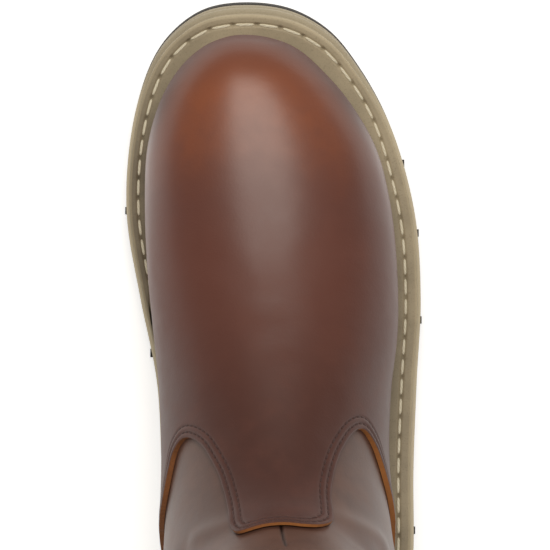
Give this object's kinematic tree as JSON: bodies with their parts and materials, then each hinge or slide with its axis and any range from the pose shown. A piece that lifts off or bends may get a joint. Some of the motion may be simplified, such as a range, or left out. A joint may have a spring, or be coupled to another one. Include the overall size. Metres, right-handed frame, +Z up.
{
  "type": "western work boot",
  "caption": "Pull-on western work boot for the right foot: red-brown leather upper with a scalloped vamp, stitched khaki welt, dark lug sole and block heel.",
  "frame": {"origin": "on the floor under the middle of the boot's plan box", "axes": "+Z up, +Y towards the toe, +X towards the outer side of the right foot"},
  "size_m": [0.1248, 0.313, 0.2962],
  "materials": {
    "sole_rubber": "matt dark brown-black lug rubber",
    "midsole_rubber": "matt khaki rubber edge",
    "welt_rubber": "matt khaki welt with cream lockstitch",
    "insole_leather": "plain tan",
    "upper_leather": "waxed brown pull-up leather",
    "vamp_leather": "burnished red-brown pull-up leather",
    "trim_leather": "dark brown binding",
    "strap_leather": "red-brown leather"
  },
  "bodies": {
    "root": {"outsole": "sole_rubber", "heel": "sole_rubber", "midsole": "midsole_rubber", "welt": "welt_rubber", "insole": "insole_leather", "upper": "upper_leather", "vamp": "vamp_leather", "heel_counter": "vamp_leather", "collar_binding": "trim_leather", "pull_strap_medial": "strap_leather", "pull_strap_lateral": "strap_leather", "side_seam_medial": "strap_leather", "side_seam_lateral": "strap_leather"}
  },
  "joints": []
}
